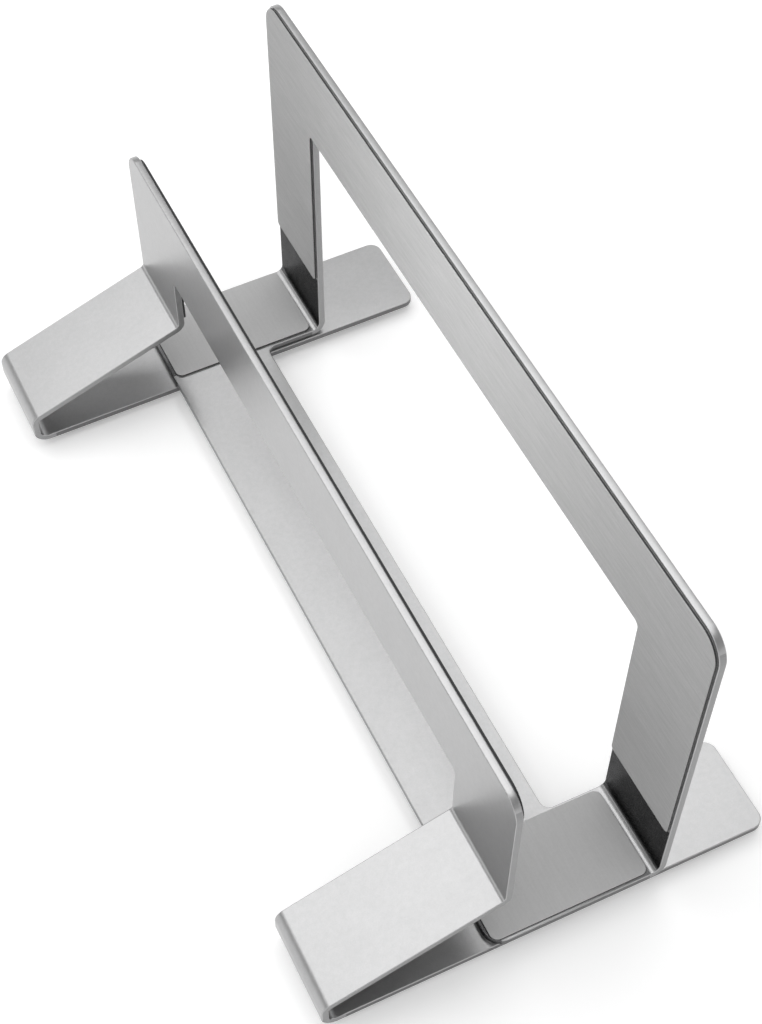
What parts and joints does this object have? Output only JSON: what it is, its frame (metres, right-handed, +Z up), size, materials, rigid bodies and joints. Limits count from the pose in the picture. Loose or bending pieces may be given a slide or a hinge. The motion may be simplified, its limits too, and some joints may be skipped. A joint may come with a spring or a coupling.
{
  "type": "vertical laptop stand",
  "caption": "Vertical laptop stand of folded aluminium sheet: sloping-leg front panel on base strips, windowed rear arch that slides to set the slot width, grey pads on contact faces.",
  "frame": {"origin": "on the desk, under the middle of the stand's box with the slot at its widest", "axes": "+Z up, +Y along the stand's length, +X from the front panel to the rear arch"},
  "size_m": [0.0986, 0.18, 0.0875],
  "materials": {
    "aluminium_sheet": "bead-blasted and clear anodised, satin silver",
    "grey_pad": "matt grey pad with a fine lengthwise grain and dark cut edges",
    "screw_steel": "plain bright stainless steel",
    "black_rubber": "matt black rubber"
  },
  "bodies": {
    "front": {"front_bracket": "aluminium_sheet", "front_pad": "grey_pad", "base_foot_front_left": "black_rubber", "base_foot_front_right": "black_rubber", "base_foot_rear_left": "black_rubber", "base_foot_rear_right": "black_rubber"},
    "rear": {"rear_bracket": "aluminium_sheet", "rear_pad": "grey_pad", "foot_pad_left": "grey_pad", "foot_pad_right": "grey_pad", "lock_screws": "screw_steel"}
  },
  "joints": [
    {"name": "slot_slide", "type": "slide", "parent": "front", "child": "rear", "axis": [-1, 0, 0], "range_m": [0, 0.016]}
  ]
}
